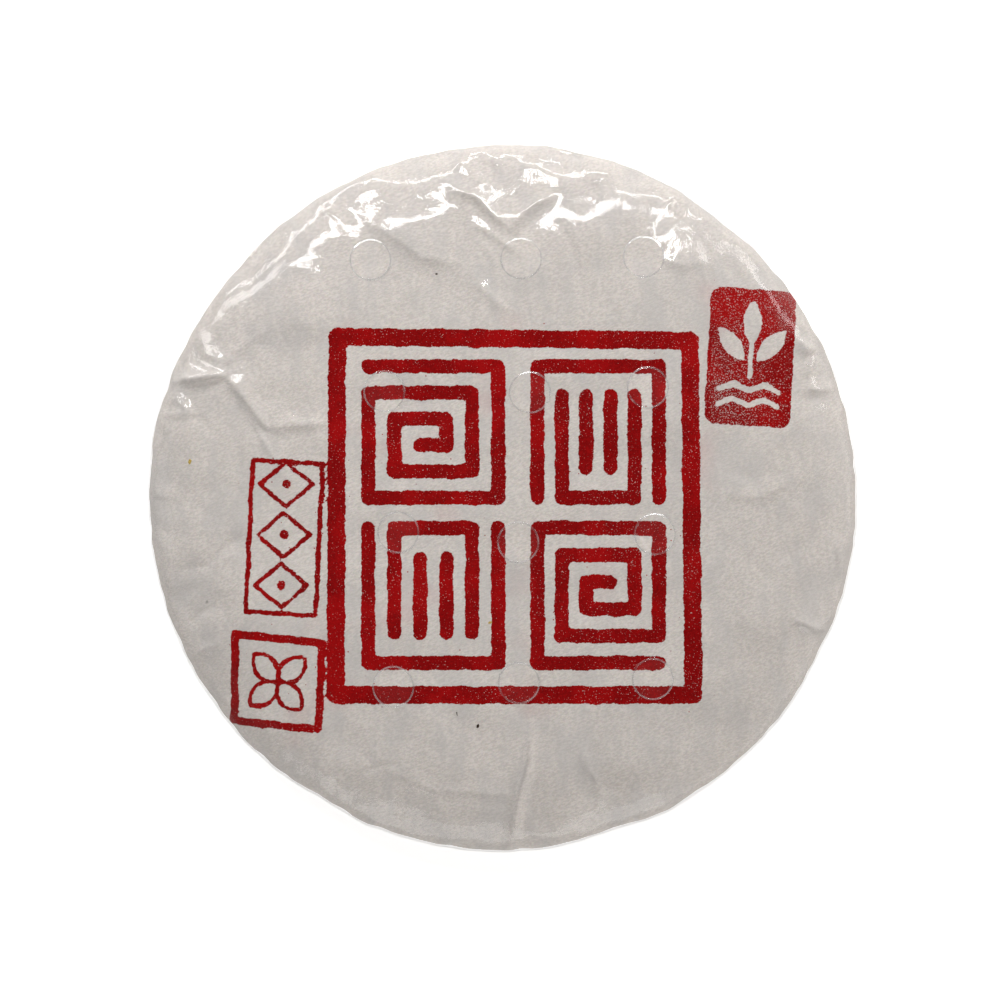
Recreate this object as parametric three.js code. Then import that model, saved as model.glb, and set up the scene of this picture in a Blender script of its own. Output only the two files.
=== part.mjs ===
// A pressed cake of oolong tea, wrapped in soft cotton paper under tight clear film.
// It lies with its stamped face up. Millimetres, +Z up, and the origin is on the ground
// under the middle of the cake. The outer skin is one closed shell over the packed tea.

import * as THREE from 'three';
import { mergeVertices } from 'three/addons/utils/BufferGeometryUtils.js';

// Driving dimensions.
const RIM_RADIUS = 100;
const CROWN_HEIGHT = 22.5;
const RIM_HEIGHT = 9.5;
const FOOT_OUTER_RADIUS = 82;
const FOOT_INNER_RADIUS = 30;
const HOLLOW_DEPTH = 4;

// How square the shoulder is: 2 and 2 would be a plain ellipse.
const SHOULDER_ROUND = 5;
const CROWN_ROUND = 2;

// Gathers of the paper under the cake, drawn in to the pressed hollow.
const PLEAT_COUNT = 24;
const PLEAT_RISE = 0.9;
const PLEAT_LEAN = 14;

// Long soft waves of the paper over the face: length and direction of each.
const WAVE_RISE = 0.16;
const WAVES = [
  { length: 47, degrees: 20, phase: 0.4 },
  { length: 38, degrees: 75, phase: 2.1 },
  { length: 29, degrees: 128, phase: 4.0 },
  { length: 24, degrees: 160, phase: 1.2 },
];

// Crumpling of the paper round the shoulder: lobes round the rim and their shares.
const CRUMPLE_RISE = 0.42;
const CRUMPLES = [
  { lobes: 11, share: 0.5, phase: 0.7 },
  { lobes: 19, share: 0.3, phase: 2.6 },
  { lobes: 31, share: 0.2, phase: 5.1 },
];

// Folds that stand out of the face, each a ridge between two places on it.
const FOLDS = [
  { name: 'left_tuck', from: [-91, 33], to: [-76, 33], rise: 1.3, halfWidth: 4.2 },
  { name: 'left_ridge', from: [-76, 33], to: [-61, 12], rise: 0.9, halfWidth: 4.5 },
  { name: 'top_pucker_left', from: [-15, 87], to: [3, 74], rise: 1.0, halfWidth: 4.5 },
  { name: 'top_pucker_right', from: [3, 74], to: [19, 84], rise: 0.9, halfWidth: 4.5 },
  { name: 'right_tuck', from: [82, 44], to: [91, 42], rise: 1.1, halfWidth: 4.2 },
  { name: 'right_ridge', from: [84, 38], to: [93, 29], rise: 1.0, halfWidth: 4.2 },
  { name: 'right_low_tuck', from: [82, -34], to: [92, -38], rise: 1.0, halfWidth: 4.0 },
  { name: 'bottom_crease', from: [8, -65], to: [3, -96], rise: 0.8, halfWidth: 4.0 },
  { name: 'bottom_pocket', from: [6, -95], to: [20, -95], rise: 0.8, halfWidth: 4.0 },
  { name: 'low_left_tuck', from: [-82, -44], to: [-70, -36], rise: 0.9, halfWidth: 4.5 },
];

// Flats in the outline where the wrapping is drawn straight: place, depth and half angle.
const DENTS = [
  { degrees: 52, depth: 0.5, halfDegrees: 9 },
  { degrees: 140, depth: 0.3, halfDegrees: 12 },
  { degrees: 239, depth: 0.9, halfDegrees: 9 },
  { degrees: 288, depth: 1.2, halfDegrees: 11 },
  { degrees: 333, depth: 0.5, halfDegrees: 8 },
];

// Fineness of the shell.
const SECTORS = 144;
const FACE_RINGS = 17;
const SIDE_RINGS = 4;
const FOOT_RINGS = 3;
const HOLLOW_RINGS = 4;
const RING_SPREAD = 0.8;

const QUARTER_TURN = Math.PI / 2;

function smooth(low, high, value) {
  return THREE.MathUtils.smoothstep(value, low, high);
}

// Height of the plain face at a radius: a low dome that turns down at the shoulder.
function faceHeight(radius) {
  const reach = Math.min(radius / RIM_RADIUS, 1);
  const drop = 1 - Math.pow(reach, SHOULDER_ROUND);
  return RIM_HEIGHT + (CROWN_HEIGHT - RIM_HEIGHT) * Math.pow(drop, 1 / CROWN_ROUND);
}

// Height of the underside inside the foot: a shallow bowl.
function hollowHeight(radius) {
  return HOLLOW_DEPTH * 0.5 * (1 + Math.cos((Math.PI * radius) / FOOT_INNER_RADIUS));
}

// Half section of the cake, from the middle of the underside out and up to the crown.
function halfSection() {
  const section = [];
  for (let i = 0; i < HOLLOW_RINGS; i += 1) {
    const radius = (FOOT_INNER_RADIUS * i) / HOLLOW_RINGS;
    section.push(new THREE.Vector2(radius, hollowHeight(radius)));
  }
  for (let i = 0; i < FOOT_RINGS; i += 1) {
    const radius = THREE.MathUtils.lerp(FOOT_INNER_RADIUS, FOOT_OUTER_RADIUS, i / FOOT_RINGS);
    section.push(new THREE.Vector2(radius, 0));
  }
  for (let i = 0; i < SIDE_RINGS; i += 1) {
    const turn = (QUARTER_TURN * i) / SIDE_RINGS;
    const radius = FOOT_OUTER_RADIUS + (RIM_RADIUS - FOOT_OUTER_RADIUS) * Math.sin(turn);
    section.push(new THREE.Vector2(radius, RIM_HEIGHT * (1 - Math.cos(turn))));
  }
  for (let i = FACE_RINGS; i >= 0; i -= 1) {
    const radius = RIM_RADIUS * Math.pow(Math.sin((QUARTER_TURN * i) / FACE_RINGS), RING_SPREAD);
    section.push(new THREE.Vector2(radius, faceHeight(radius)));
  }
  return section;
}

// Rise of a straight fold at a place on the face, fading to nothing past its ends.
function foldRise(fold, x, y) {
  const alongX = fold.to[0] - fold.from[0];
  const alongY = fold.to[1] - fold.from[1];
  const lengthSquared = alongX * alongX + alongY * alongY;
  const share = ((x - fold.from[0]) * alongX + (y - fold.from[1]) * alongY) / lengthSquared;
  const nearest = THREE.MathUtils.clamp(share, 0, 1);
  const away = Math.hypot(x - fold.from[0] - nearest * alongX, y - fold.from[1] - nearest * alongY);
  return fold.rise * Math.max(0, 1 - away / fold.halfWidth);
}

// Rise of the long waves and of the folds together.
function faceRelief(x, y) {
  let rise = 0;
  for (const wave of WAVES) {
    const heading = THREE.MathUtils.degToRad(wave.degrees);
    const along = x * Math.cos(heading) + y * Math.sin(heading);
    rise += WAVE_RISE * Math.sin((2 * Math.PI * along) / wave.length + wave.phase);
  }
  for (const fold of FOLDS) {
    rise += foldRise(fold, x, y);
  }
  return rise;
}

// Rise of the crumpled shoulder, strongest between the face and the rim.
function shoulderRelief(angle, radius) {
  const band = smooth(66, 86, radius) * (1 - smooth(94, RIM_RADIUS, radius));
  let rise = 0;
  for (const crumple of CRUMPLES) {
    rise += crumple.share * Math.sin(crumple.lobes * angle + crumple.phase);
  }
  return CRUMPLE_RISE * band * rise;
}

// How far the outline is drawn in at an angle.
function dentDepth(angle) {
  let depth = 0;
  for (const dent of DENTS) {
    const away = THREE.MathUtils.radToDeg(angle) - dent.degrees;
    const turn = THREE.MathUtils.euclideanModulo(away + 180, 360) - 180;
    depth += dent.depth * (1 - smooth(0, dent.halfDegrees, Math.abs(turn)));
  }
  return depth;
}

// Rise of the gathers under the cake: flat lands with a leaning groove between each two.
function pleatRise(angle, radius) {
  const lean = THREE.MathUtils.degToRad(PLEAT_LEAN) * (radius / FOOT_OUTER_RADIUS);
  const turn = THREE.MathUtils.euclideanModulo(((angle + lean) * PLEAT_COUNT) / (2 * Math.PI), 1);
  const groove = smooth(0.55, 0.95, turn) * (1 - smooth(0.95, 1, turn));
  const reach = smooth(12, FOOT_INNER_RADIUS, radius) * (1 - smooth(60, 92, radius));
  return PLEAT_RISE * groove * reach;
}

// Moves one point of the turned shell to its place in the creased wrapping.
function crease(point, underside) {
  const radius = Math.hypot(point.x, point.y);
  const angle = Math.atan2(point.y, point.x);
  if (underside) {
    point.z += pleatRise(angle, radius);
  } else {
    const onFace = 1 - smooth(92, RIM_RADIUS, radius);
    point.z += onFace * faceRelief(point.x, point.y) + shoulderRelief(angle, radius);
  }
  if (radius > 0) {
    const drawn = 1 - (dentDepth(angle) * Math.pow(radius / RIM_RADIUS, 6)) / radius;
    point.x *= drawn;
    point.y *= drawn;
  }
  return point;
}

// The whole shell: the half section turned about the upright axis, then creased.
function wrappedCakeGeometry() {
  const section = halfSection();
  const turned = new THREE.LatheGeometry(section, SECTORS);
  turned.deleteAttribute('normal');
  turned.deleteAttribute('uv');
  const undersidePoints = HOLLOW_RINGS + FOOT_RINGS + SIDE_RINGS;
  const place = turned.getAttribute('position');
  const point = new THREE.Vector3();
  for (let i = 0; i < place.count; i += 1) {
    // The lathe turns about +Y: its height becomes Z.
    point.set(place.getX(i), -place.getZ(i), place.getY(i));
    crease(point, i % section.length < undersidePoints);
    place.setXYZ(i, point.x, point.y, point.z);
  }
  return mergeVertices(turned, 1e-4);
}

const wrapping = new THREE.MeshStandardMaterial({
  color: new THREE.Color(0.76, 0.73, 0.69),
  roughness: 0.35,
  metalness: 0,
});

const wrappedCake = new THREE.Mesh(wrappedCakeGeometry(), wrapping);
wrappedCake.name = 'wrapped_tea_cake';

const teaCake = new THREE.Group();
teaCake.add(wrappedCake);

export default teaCake;
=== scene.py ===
"""A cake of pressed oolong tea in creased cotton paper, stamped in red, under tight clear film.

The cake lies on its back with the stamped face up: +Y is the top of the face, +X its right.
Sizes are in millimetres and turn to metres where a mesh is written.
"""

import math

import bpy
import numpy as np
from mathutils import Matrix, Vector


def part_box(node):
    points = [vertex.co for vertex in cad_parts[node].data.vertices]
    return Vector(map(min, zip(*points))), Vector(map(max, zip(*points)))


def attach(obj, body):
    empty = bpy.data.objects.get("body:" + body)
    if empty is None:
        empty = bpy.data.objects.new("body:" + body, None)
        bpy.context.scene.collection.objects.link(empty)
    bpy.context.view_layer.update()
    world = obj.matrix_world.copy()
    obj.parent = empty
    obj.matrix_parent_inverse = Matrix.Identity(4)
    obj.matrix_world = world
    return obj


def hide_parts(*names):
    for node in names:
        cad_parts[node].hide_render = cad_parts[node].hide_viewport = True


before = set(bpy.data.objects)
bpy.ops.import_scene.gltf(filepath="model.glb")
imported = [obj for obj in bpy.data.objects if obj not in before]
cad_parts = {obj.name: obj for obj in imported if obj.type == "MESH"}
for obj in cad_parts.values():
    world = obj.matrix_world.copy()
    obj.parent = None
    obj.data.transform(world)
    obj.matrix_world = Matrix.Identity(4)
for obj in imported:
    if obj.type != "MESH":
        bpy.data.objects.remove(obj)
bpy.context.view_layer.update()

MM = 0.001
CAKE = "wrapped_tea_cake"
low_corner, high_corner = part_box(CAKE)

# Main sizes of the wrapped cake. The rim comes from the frame.
RIM_RADIUS = (high_corner[0] - low_corner[0]) / 2 / MM
CROWN_HEIGHT = 22.5
RIM_HEIGHT = 9.5
FOOT_OUTER_RADIUS = 82.0
FOOT_INNER_RADIUS = 30.0
HOLLOW_DEPTH = 4.0
SHOULDER_ROUND = 5.0

# The paper lies this far under the cake's outer skin, and the film just under that skin.
# Along the upper left of the rim the paper lies deeper, so the film stands off it.
PAPER_INSET = 0.60
FILM_INSET = 0.06
FILM_STAND_OFF = 0.55

# How gently the paper flattens where it is pressed against the film, and the gap it keeps.
PRESS = 0.05
PRESS_GAP = 0.05

# Fineness of the shells: points round the rim, and the radii inside which a grid takes over.
PAPER_SECTORS = 960
FILM_SECTORS = 720
GRID_RADIUS = 88.0
FOOT_GRID_RADIUS = 60.0
JOIN_TURN = math.radians(35)

# Folds of the paper that stand out of the face. Each has places along its crest, its rise,
# and how far it spreads to the left and to the right of the way it runs.
FOLDS = {
    "left_tuck_lip": ([(-92, 32.7), (-86, 33), (-78, 34.4)], 1.5, 6.0, 2.4),
    "left_tuck_edge": ([(-78, 34.4), (-72.3, 27.3), (-67.5, 20.8), (-65.2, 19.2)], 1.3, 11.0, 2.6),
    "left_tuck_tail": ([(-71, 23.4), (-67.5, 16.9), (-64.4, 11.5), (-61.5, 8.5)], 0.42, 1.6, 2.0),
    "left_band": ([(-65.2, 19.4), (-58, 20), (-49.5, 20.8)], 0.85, 10.0, 3.2),
    "left_shadow": ([(-85.2, 40.8), (-77.9, 38.3)], 0.5, 6.0, 3.6),
    "left_shadow_rise": ([(-77.9, 38), (-71.1, 43.7), (-66, 47)], 0.45, 7.0, 3.4),
    "left_nick": ([(-92.8, 28.2), (-90.6, 26.8), (-88, 24.2)], 0.55, 2.0, 2.4),
    "left_line": ([(-97, 23.4), (-92.2, 23.1), (-86, 23.6)], 0.45, 3.0, 2.2),
    "left_valley": ([(-92, -20.6), (-83.2, -19.2), (-77.6, -13.8), (-71, -10)], -0.7, 6.5, 6.5),
    "left_low_valley": ([(-88.9, -36.9), (-85.8, -33.2), (-80.2, -30.1)], -0.7, 5.5, 5.5),
    "low_left_ridge": (
        [(-89.4, -43.7), (-87.2, -45.4), (-84.4, -43.1), (-80, -41.6)], 0.6, 3.2, 3.0,
    ),
    "top_pucker_left": ([(-13.1, 86), (-6.9, 83.6), (-3.5, 79.8), (2.1, 75)], 1.0, 9.0, 2.6),
    "top_pucker_right": ([(2.1, 75), (6, 79.6), (9.4, 82.4), (15, 85)], 0.8, 6.0, 3.0),
    "top_left_valley": ([(-37, 77), (-28.9, 72), (-23.2, 67.5), (-14, 65.6)], 0.9, 14.0, 5.4),
    "top_hole_fold": ([(-9.2, 77.5), (-1.3, 72.4), (5, 68)], 0.5, 6.0, 2.8),
    "top_mid_fold": ([(-7, 59.6), (-3, 55.6), (1.6, 51.8)], 0.6, 9.0, 3.6),
    "top_arc": ([(14.8, 77.5), (18.2, 73), (20.4, 68.2), (21.6, 60.6), (22, 54)], -0.4, 3.0, 3.6),
    "top_far_band": ([(45, 66.6), (51.4, 65), (58, 66.4)], 0.55, 9.0, 4.2),
    "top_rim_nick": ([(-50.6, 81.4), (-45, 77.6)], 0.25, 5.0, 3.0),
    "top_rim_fold_a": ([(-13.1, 95.6), (-9.2, 90.8), (-3, 86.6)], 0.5, 5.0, 3.0),
    "top_rim_fold_b": ([(-6.9, 98), (-3.5, 95.6), (0.5, 93.6)], 0.4, 4.0, 3.0),
    "top_rim_fold_c": ([(4.4, 94), (12, 91.4), (16.8, 90)], 0.5, 5.0, 3.2),
    "right_tuck": ([(82.1, 45.2), (85.5, 41.5), (91, 41.4)], 1.0, 5.0, 2.4),
    "right_spike": ([(88.4, 39.8), (86.4, 36.6), (85.5, 33.8)], 0.7, 2.6, 2.6),
    "right_fold": ([(84.6, 30.8), (90, 29.9), (95, 31.3)], 0.8, 5.0, 2.6),
    "right_soft_ridge": ([(62.7, 0.5), (71.7, 0), (78.2, 2.8), (84, 7.6)], 0.55, 6.0, 4.5),
    "right_dip": ([(66, -16), (71, -19), (76, -24)], -0.5, 7.0, 7.0),
    "right_flap": ([(98.6, -5.6), (94.8, -15.5), (95.4, -26.2)], 0.9, 8.0, 1.2),
    "right_flap_low": ([(93.7, -28.5), (92.9, -32.4), (91.2, -36)], 0.45, 6.0, 1.4),
    "right_low_tuck": ([(82.7, -35), (87.2, -37), (92.3, -37.8)], 1.2, 5.0, 2.2),
    "bottom_crease": (
        [(7.7, -65), (7.2, -71.8), (6.1, -77.5), (4.6, -82.5), (3.5, -88.7), (3.2, -94), (2, -98)],
        1.2, 4.0, 1.9,
    ),
    "bottom_pocket": (
        [(-0.7, -99.4), (3.5, -97.2), (7.7, -94.1), (12.8, -95.2), (17.9, -95.2)], 1.1, 5.0, 2.4,
    ),
    "bottom_right_soft": ([(21.8, -70), (23.5, -75.8), (27.5, -82.5), (28, -88)], 0.45, 3.0, 3.0),
    "bottom_left_nick": ([(-47.8, -79.7), (-48, -86)], -0.4, 1.6, 1.6),
    "bottom_left_ridge": ([(-48, -85.4), (-43, -87), (-37, -89)], 0.5, 3.0, 3.0),
    "bottom_left_arc": (
        [(-30.6, -77.5), (-24.6, -80), (-18.7, -82.5), (-9.2, -82.6), (4.4, -84)], 0.35, 4.0, 4.0,
    ),
    "bottom_left_line": (
        [(-47.3, -80), (-42.4, -79.1), (-35.6, -75.8), (-30, -75)], -0.25, 1.8, 1.8,
    ),
}

# How far the shoulder swells outwards, by turn: on its inner and on its outer half.
SHOULDER_SWELLS = [
    (0, 0, 0), (30, 0, 0), (41, 2.5, 1.6), (47, 3.4, 2.2), (51, 4.2, 1.6),
    (54, 5, 1.9), (57.5, 5.2, 1.4), (60.5, 3, 2.2), (62, 1.4, 0.8), (65, 4.4, -0.4),
    (69, 3.2, -1.2), (72, 1.6, 1), (74, 1, 1.4), (77, -0.2, -1), (80, 0, -1.2),
    (84, 0, 0), (88, 0.4, 0.4), (92, 0.2, 0.8), (95, 0.2, 2.2), (97, 1.6, 1.6),
    (99, 1.8, -0.8), (103, 0.2, -1), (108, 0.8, -0.4), (112, 0.8, 1.2), (117, 0.8, 1),
    (120.5, 3.6, 0.8), (124, 4.4, 0), (128, 4, 0.4), (132, 5.4, -1), (138, 5.2, -0.8),
    (144, 3, 0.4), (152, 1.4, 0.4), (166, 0, 0), (360, 0, 0),
]

# Flats in the outline where the wrapping is drawn straight: place, depth, half angle.
DENTS = [(52, 0.5, 9), (140, 0.3, 12), (239, 0.9, 9), (288, 1.2, 11), (333, 0.5, 8)]

# Flat panels of the film on the shoulder: middle, half length round the cake, half width
# outwards, and slope in degrees.
PANELS = [
    ((-20.6, 82.5), 10.0, 5.2, 13.2),
    ((-36.6, 79.0), 6.5, 3.6, 14.0),
    ((19.6, 82.3), 6.0, 2.8, 13.2),
    ((42.6, 77.6), 2.8, 4.6, 16.5),
    ((61.0, 70.2), 3.4, 2.8, 22.0),
]

# Long soft waves of the paper over the face: length, direction and start of each.
WAVE_RISE = 0.16
WAVES = [(47, 20, 0.4), (38, 75, 2.1), (29, 128, 4.0), (24, 160, 1.2)]

# Crumpling round the shoulder: lobes round the rim, their shares and starts.
CRUMPLE_RISE = 0.42
CRUMPLES = [(11, 0.5, 0.7), (19, 0.3, 2.6), (31, 0.2, 5.1)]

# Radii at which the shoulder's relief begins and is full.
SHOULDER_START = 66
SHOULDER_FULL = 86

# Paper between the folds: its soft swells, how far its creases wander, and the creases
# themselves, by seed, width of a facet, rise on the face and further rise at the edge.
SOFT_SWELL = 0.30
CREASE_WANDER = 2.2
CREASES = [(34, 17.0, 0.34, 0.12), (35, 8.5, 0.12, 0.06)]

# The paper takes the folds a little stronger than listed. The film bridges them: its share
# of a ridge, of a valley and of the swells, and how much wider than the paper it spreads.
PAPER_FOLD = 1.35
FILM_RIDGE = 1.25
FILM_VALLEY = 0.45
FILM_CRUMPLE = 0.8
FILM_SWELL = 0.06
FILM_SPREAD = 1.25
FILM_SPREAD_MORE = 0.4
FILM_RIPPLE = 0.030

# Share of all relief that fades away from this radius to the rim.
RIM_FADE = 0.75
RIM_FADE_START = 93

# Rumpling of the lower side, and the film's share of it and of the gathers below.
SIDE_RUMPLE = 0.25
FILM_RUMPLE_SHARE = 0.6
FILM_PLEAT_SHARE = 0.5

# Gathers of the paper under the cake.
PLEAT_COUNT = 24
PLEAT_RISE = 0.9
PLEAT_LEAN = 14.0

# Round vent holes punched in the film, by place on the face.
VENT_RADIUS = 5.4
VENTS = [
    (-37.0, 66.5), (5.2, 66.8), (39.6, 67.3),
    (-33.1, 29.6), (7.7, 29.3), (40.7, 30.7),
    (-29.2, -9.9), (4.4, -12.7), (42.7, -10.4),
    (-30.6, -53.2), (4.6, -52.1), (42.1, -51.0),
]

# Welded lips round the vent holes: flat bands that tilt up towards the hole.
LIP_WIDTH = 0.50
LIP_THICKNESS = 0.03
LIP_TILT = math.radians(9.5)

# Crumbs under the film: name, place, length, width and turn.
FLECKS = [
    ("leaf_fleck_top", (-18.5, 62.5), 0.8, 0.6, 20),
    ("leaf_fleck_low", (-6.9, -64.2), 1.2, 0.8, 70),
    ("leaf_fleck_thin", (-12.8, -60.8), 1.1, 0.35, 110),
    ("straw_fleck_left", (-87.8, 9.9), 1.6, 0.9, 80),
    ("straw_fleck_middle", (-3.5, -35.2), 1.0, 0.7, 15),
]
FLECK_THICKNESS = 0.16
FLECK_BEND = 0.14
FLECK_LIFT = 0.03


# ---- plain form

def smooth(low, high, value):
    """0 below low, 1 above high, with an easy slope between them."""
    t = np.clip((value - low) / (high - low), 0, 1)
    return t * t * (3 - 2 * t)


def face_height(radius):
    """Height of the plain face: a low dome that turns down at the shoulder."""
    drop = 1 - np.minimum(radius / RIM_RADIUS, 1) ** SHOULDER_ROUND
    return RIM_HEIGHT + (CROWN_HEIGHT - RIM_HEIGHT) * np.sqrt(drop)


def shoulder_radius(x, y):
    """Radius of a place on the plain dome, after the shoulder's own swells and hollows."""
    radius = np.hypot(x, y)
    turn = np.degrees(np.arctan2(y, x)) % 360
    turns, inner_swells, outer_swells = zip(*SHOULDER_SWELLS)
    inner = np.interp(turn, turns, inner_swells)
    outer = np.interp(turn, turns, outer_swells)
    inner_band = smooth(SHOULDER_START, SHOULDER_FULL, radius)
    inner_band = inner_band * (1 - smooth(SHOULDER_FULL, 98, radius))
    outer_band = smooth(90, 94.5, radius) * (1 - smooth(97.5, RIM_RADIUS, radius))
    return radius - inner * inner_band - outer * outer_band


def hollow_height(radius):
    """Height of the underside inside the foot: a shallow bowl."""
    inside = np.minimum(radius / FOOT_INNER_RADIUS, 1)
    return HOLLOW_DEPTH * 0.5 * (1 + np.cos(math.pi * inside))


def shoulder_places(count):
    """Places down the shoulder from the edge of the grid to the rim."""
    first = math.asin((GRID_RADIUS / RIM_RADIUS) ** (SHOULDER_ROUND / 2))
    places = []
    for i in range(count + 1):
        turn = first + (math.pi / 2 - first) * i / count
        radius = RIM_RADIUS * math.sin(turn) ** (2 / SHOULDER_ROUND)
        places.append((radius, RIM_HEIGHT + (CROWN_HEIGHT - RIM_HEIGHT) * math.cos(turn)))
    return places


def side_places(first, last, count):
    """Places down the lower side, from one turn below the rim to another."""
    places = []
    for i in range(count + 1):
        turn = first + (last - first) * i / count
        radius = FOOT_OUTER_RADIUS + (RIM_RADIUS - FOOT_OUTER_RADIUS) * math.cos(turn)
        places.append((radius, RIM_HEIGHT * (1 - math.sin(turn))))
    return places


def foot_places(first, last, count):
    """Places across the flat foot from one radius to another."""
    return [(first + (last - first) * i / count, 0.0) for i in range(count + 1)]


# ---- relief

def fold_rise(x, y, places, rise, left, right):
    """Rise of one fold: a sharp crest with hollow flanks, fading towards its two ends."""
    lengths = [math.dist(a, b) for a, b in zip(places, places[1:])]
    total = sum(lengths)
    best = np.full(x.shape, 1e9)
    height = np.zeros(x.shape)
    walked = 0.0
    for (ax, ay), (bx, by), length in zip(places, places[1:], lengths):
        ux, uy = (bx - ax) / length, (by - ay) / length
        along = np.clip((x - ax) * ux + (y - ay) * uy, 0, length)
        off_x, off_y = x - ax - along * ux, y - ay - along * uy
        away = np.hypot(off_x, off_y)
        side = ux * off_y - uy * off_x
        reach = np.where(side > 0, left, right)
        share = (walked + along) / total
        ends = smooth(-0.12, 0.25, share) * (1 - smooth(0.75, 1.12, share))
        flank = np.clip(1 - away / reach, 0, 1) ** 2
        nearer = away < best
        height = np.where(nearer, rise * ends * flank, height)
        best = np.where(nearer, away, best)
        walked += length
    return height


def soft_noise(x, y, seed, shortest, longest, waves=14):
    """Gentle seeded waves that run all ways, about 1 high at most."""
    draw = np.random.default_rng(seed)
    total = np.zeros(x.shape)
    for _ in range(waves):
        heading = draw.uniform(0, 2 * math.pi)
        length = math.exp(draw.uniform(math.log(shortest), math.log(longest)))
        start = draw.uniform(0, 2 * math.pi)
        along = x * math.cos(heading) + y * math.sin(heading)
        total += np.sin(2 * math.pi * along / length + start)
    return total / math.sqrt(2 * waves)


def crease_net(x, y, seed, size):
    """Flat facets that meet in creases, as in paper that was crumpled and smoothed."""
    draw = np.random.default_rng(seed)
    reach = int(2 * RIM_RADIUS / size) + 6
    shift = draw.uniform(0.1, 0.9, (reach, reach, 2))
    column = x / size + reach / 2
    row = y / size + reach / 2
    first = np.full(x.shape, 1e9)
    second = np.full(x.shape, 1e9)
    for i in (-1, 0, 1):
        for j in (-1, 0, 1):
            a = np.clip(np.floor(column).astype(int) + i, 0, reach - 1)
            b = np.clip(np.floor(row).astype(int) + j, 0, reach - 1)
            away = (column - a - shift[a, b, 0]) ** 2 + (row - b - shift[a, b, 1]) ** 2
            second = np.minimum(second, np.maximum(first, away))
            first = np.minimum(first, away)
    return np.minimum(second - first, 1.4) - 0.5


def wave_rise(x, y):
    """The long waves that the solid also has."""
    total = np.zeros(x.shape)
    for length, degrees, start in WAVES:
        heading = math.radians(degrees)
        along = x * math.cos(heading) + y * math.sin(heading)
        total += WAVE_RISE * np.sin(2 * math.pi * along / length + start)
    return total


def crumple_rise(x, y):
    """Lobes round the shoulder that the solid also has."""
    radius, angle = np.hypot(x, y), np.arctan2(y, x)
    band = smooth(SHOULDER_START, SHOULDER_FULL, radius) * (1 - smooth(94, RIM_RADIUS, radius))
    total = np.zeros(x.shape)
    for lobes, share, start in CRUMPLES:
        total += share * np.sin(lobes * angle + start)
    return CRUMPLE_RISE * band * total


def rim_fade(radius):
    """How much of the relief is left at a radius."""
    return 1 - RIM_FADE * smooth(RIM_FADE_START, RIM_RADIUS, radius)


def paper_relief(x, y):
    """Rise of the creased paper over the plain face. It is pressed flat where it meets the film."""
    drift_x = x + CREASE_WANDER * soft_noise(x, y, 31, 18, 40)
    drift_y = y + CREASE_WANDER * soft_noise(x, y, 32, 18, 40)
    radius = np.hypot(x, y)
    edge = smooth(60, 88, radius)
    rise = wave_rise(x, y) + crumple_rise(x, y)
    rise += SOFT_SWELL * soft_noise(x, y, 33, 11, 28)
    for seed, size, on_face, at_edge in CREASES:
        rise += (on_face + at_edge * edge) * crease_net(drift_x, drift_y, seed, size)
    for places, height, left, right in FOLDS.values():
        rise += PAPER_FOLD * fold_rise(x, y, places, height, left, right)
    rise *= rim_fade(radius)
    room = film_relief(x, y) + PAPER_INSET - FILM_INSET - PRESS_GAP - rise
    return rise + np.minimum(room - PRESS * np.logaddexp(0, room / PRESS), 0)


def film_relief(x, y):
    """Rise of the film, which is drawn tight over the folds and bridges the valleys."""
    radius = np.hypot(x, y)
    rise = wave_rise(x, y) + FILM_CRUMPLE * crumple_rise(x, y)
    rise += FILM_SWELL * soft_noise(x, y, 33, 11, 28)
    for places, height, left, right in FOLDS.values():
        over = height * (FILM_RIDGE if height > 0 else FILM_VALLEY)
        spread = [FILM_SPREAD * side + FILM_SPREAD_MORE for side in (left, right)]
        rise += fold_rise(x, y, places, over, *spread)
    rise *= rim_fade(radius)
    ripple = FILM_RIPPLE * soft_noise(x, y, 36, 3.5, 9, waves=24)
    rise += ripple * (1 - 0.5 * smooth(97, RIM_RADIUS, radius))
    return rise + tight_panels(x, y)


def tight_panels(x, y):
    """Flat places where the film stands off the shoulder, each on its own slope."""
    plain = face_height(shoulder_radius(x, y))
    rise = np.zeros(x.shape)
    for (mid_x, mid_y), half_along, half_across, slope in PANELS:
        mid_radius = math.hypot(mid_x, mid_y)
        out_x, out_y = mid_x / mid_radius, mid_y / mid_radius
        outward = (x - mid_x) * out_x + (y - mid_y) * out_y
        along = (y - mid_y) * out_x - (x - mid_x) * out_y
        middle = float(face_height(shoulder_radius(np.array(mid_x), np.array(mid_y))))
        fall = outward + along ** 2 / (2 * mid_radius)
        flat = middle - math.tan(math.radians(slope)) * fall
        share = np.hypot(along / half_along, outward / half_across)
        rise += (1 - smooth(0.6, 1.35, share)) * np.maximum(flat - plain, -0.1)
    return rise


def pleat_rise(x, y):
    """Gathers under the cake: flat lands with a leaning groove between each two."""
    radius, angle = np.hypot(x, y), np.arctan2(y, x)
    lean = math.radians(PLEAT_LEAN) * radius / FOOT_OUTER_RADIUS
    turn = ((angle + lean) * PLEAT_COUNT / (2 * math.pi)) % 1
    groove = smooth(0.55, 0.95, turn) * (1 - smooth(0.95, 1, turn))
    reach = smooth(12, FOOT_INNER_RADIUS, radius) * (1 - smooth(60, 92, radius))
    return PLEAT_RISE * groove * reach


def dent_depth(angle):
    """How far the outline is drawn in at an angle."""
    depth = np.zeros(angle.shape)
    for degrees, deep, half in DENTS:
        turn = (np.degrees(angle) - degrees + 180) % 360 - 180
        depth += deep * (1 - smooth(0, half, np.abs(turn)))
    return depth


# ---- shells

def deselect_all():
    bpy.ops.object.select_all(action="DESELECT")


def select_only(piece):
    deselect_all()
    piece.select_set(True)
    bpy.context.view_layer.objects.active = piece


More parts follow.
